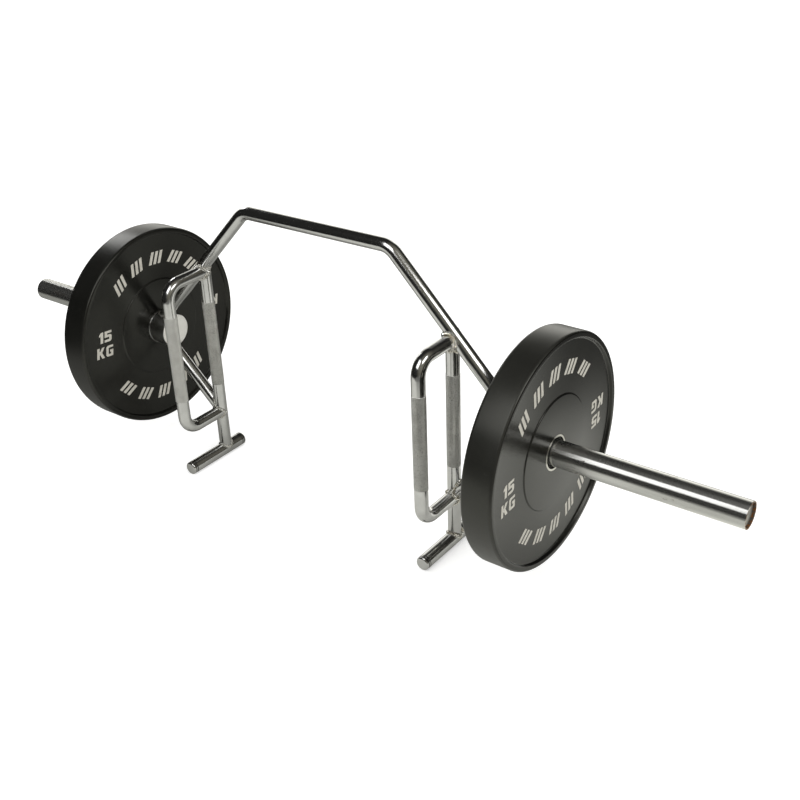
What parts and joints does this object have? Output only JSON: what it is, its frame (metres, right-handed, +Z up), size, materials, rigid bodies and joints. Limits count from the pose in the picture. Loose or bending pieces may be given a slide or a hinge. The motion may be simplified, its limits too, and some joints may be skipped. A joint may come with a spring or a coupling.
{
  "type": "open-ended trap bar",
  "caption": "Open-ended trap bar with an arched tube frame, knurled grips and U-shaped handles, T feet, turning loading sleeves and bumper plates that slide off.",
  "frame": {"origin": "on the floor under the middle of the bar, midway between the two feet, in the plane of the posts", "axes": "+X along the loading sleeves, +Y away from the U-shaped handles, +Z up as the bar stands on its feet"},
  "size_m": [1.794, 0.45, 0.6185],
  "materials": {
    "chrome": "chrome plated steel tube, matte and diamond knurled on the grips",
    "sleeve_chrome": "polished chrome with fine turning lines and light scuffs",
    "plain_steel": "turned and oiled steel",
    "bronze": "sintered bronze",
    "black_nylon": "black nylon",
    "zinc_cap": "grey zinc plated disc",
    "rusted_wire": "rusted spring wire",
    "black_rubber": "satin black moulded rubber, off-white weight figures in the visual model",
    "zinc_insert": "zinc plated steel ring"
  },
  "bodies": {
    "frame": {"main_tube": "chrome", "post_right": "chrome", "post_left": "chrome", "u_handle_right": "chrome", "u_handle_left": "chrome", "brace_right": "chrome", "brace_left": "chrome", "foot_tube_right": "chrome", "foot_tube_left": "chrome", "foot_cap_front_right": "chrome", "foot_cap_front_left": "chrome", "foot_cap_back_right": "chrome", "foot_cap_back_left": "chrome", "hub_right": "chrome", "hub_left": "chrome", "spindle_right": "plain_steel", "spindle_left": "plain_steel", "thrust_washer_right": "black_nylon", "thrust_washer_left": "black_nylon", "shaft_washer_right": "plain_steel", "shaft_washer_left": "plain_steel", "shaft_ring_right": "plain_steel", "shaft_ring_left": "plain_steel"},
    "sleeve_right": {"sleeve_right": "sleeve_chrome", "inner_bush_right": "bronze", "outer_bush_right": "bronze", "end_cap_right": "zinc_cap", "cap_ring_right": "rusted_wire"},
    "plate_right": {"plate_rubber_right": "black_rubber", "plate_insert_right": "zinc_insert"},
    "sleeve_left": {"sleeve_left": "sleeve_chrome", "inner_bush_left": "bronze", "outer_bush_left": "bronze", "end_cap_left": "zinc_cap", "cap_ring_left": "rusted_wire"},
    "plate_left": {"plate_rubber_left": "black_rubber", "plate_insert_left": "zinc_insert"}
  },
  "joints": [
    {"name": "sleeve_spin_right", "type": "hinge", "parent": "frame", "child": "sleeve_right", "pos_m": [0.69, 0, 0.2825], "axis": [1, 0, 0], "continuous": true},
    {"name": "plate_slide_right", "type": "slide", "parent": "sleeve_right", "child": "plate_right", "axis": [1, 0, 0], "range_m": [0, 0.43]},
    {"name": "sleeve_spin_left", "type": "hinge", "parent": "frame", "child": "sleeve_left", "pos_m": [-0.69, 0, 0.2825], "axis": [1, 0, 0], "continuous": true},
    {"name": "plate_slide_left", "type": "slide", "parent": "sleeve_left", "child": "plate_left", "axis": [-1, 0, 0], "range_m": [0, 0.43]}
  ]
}
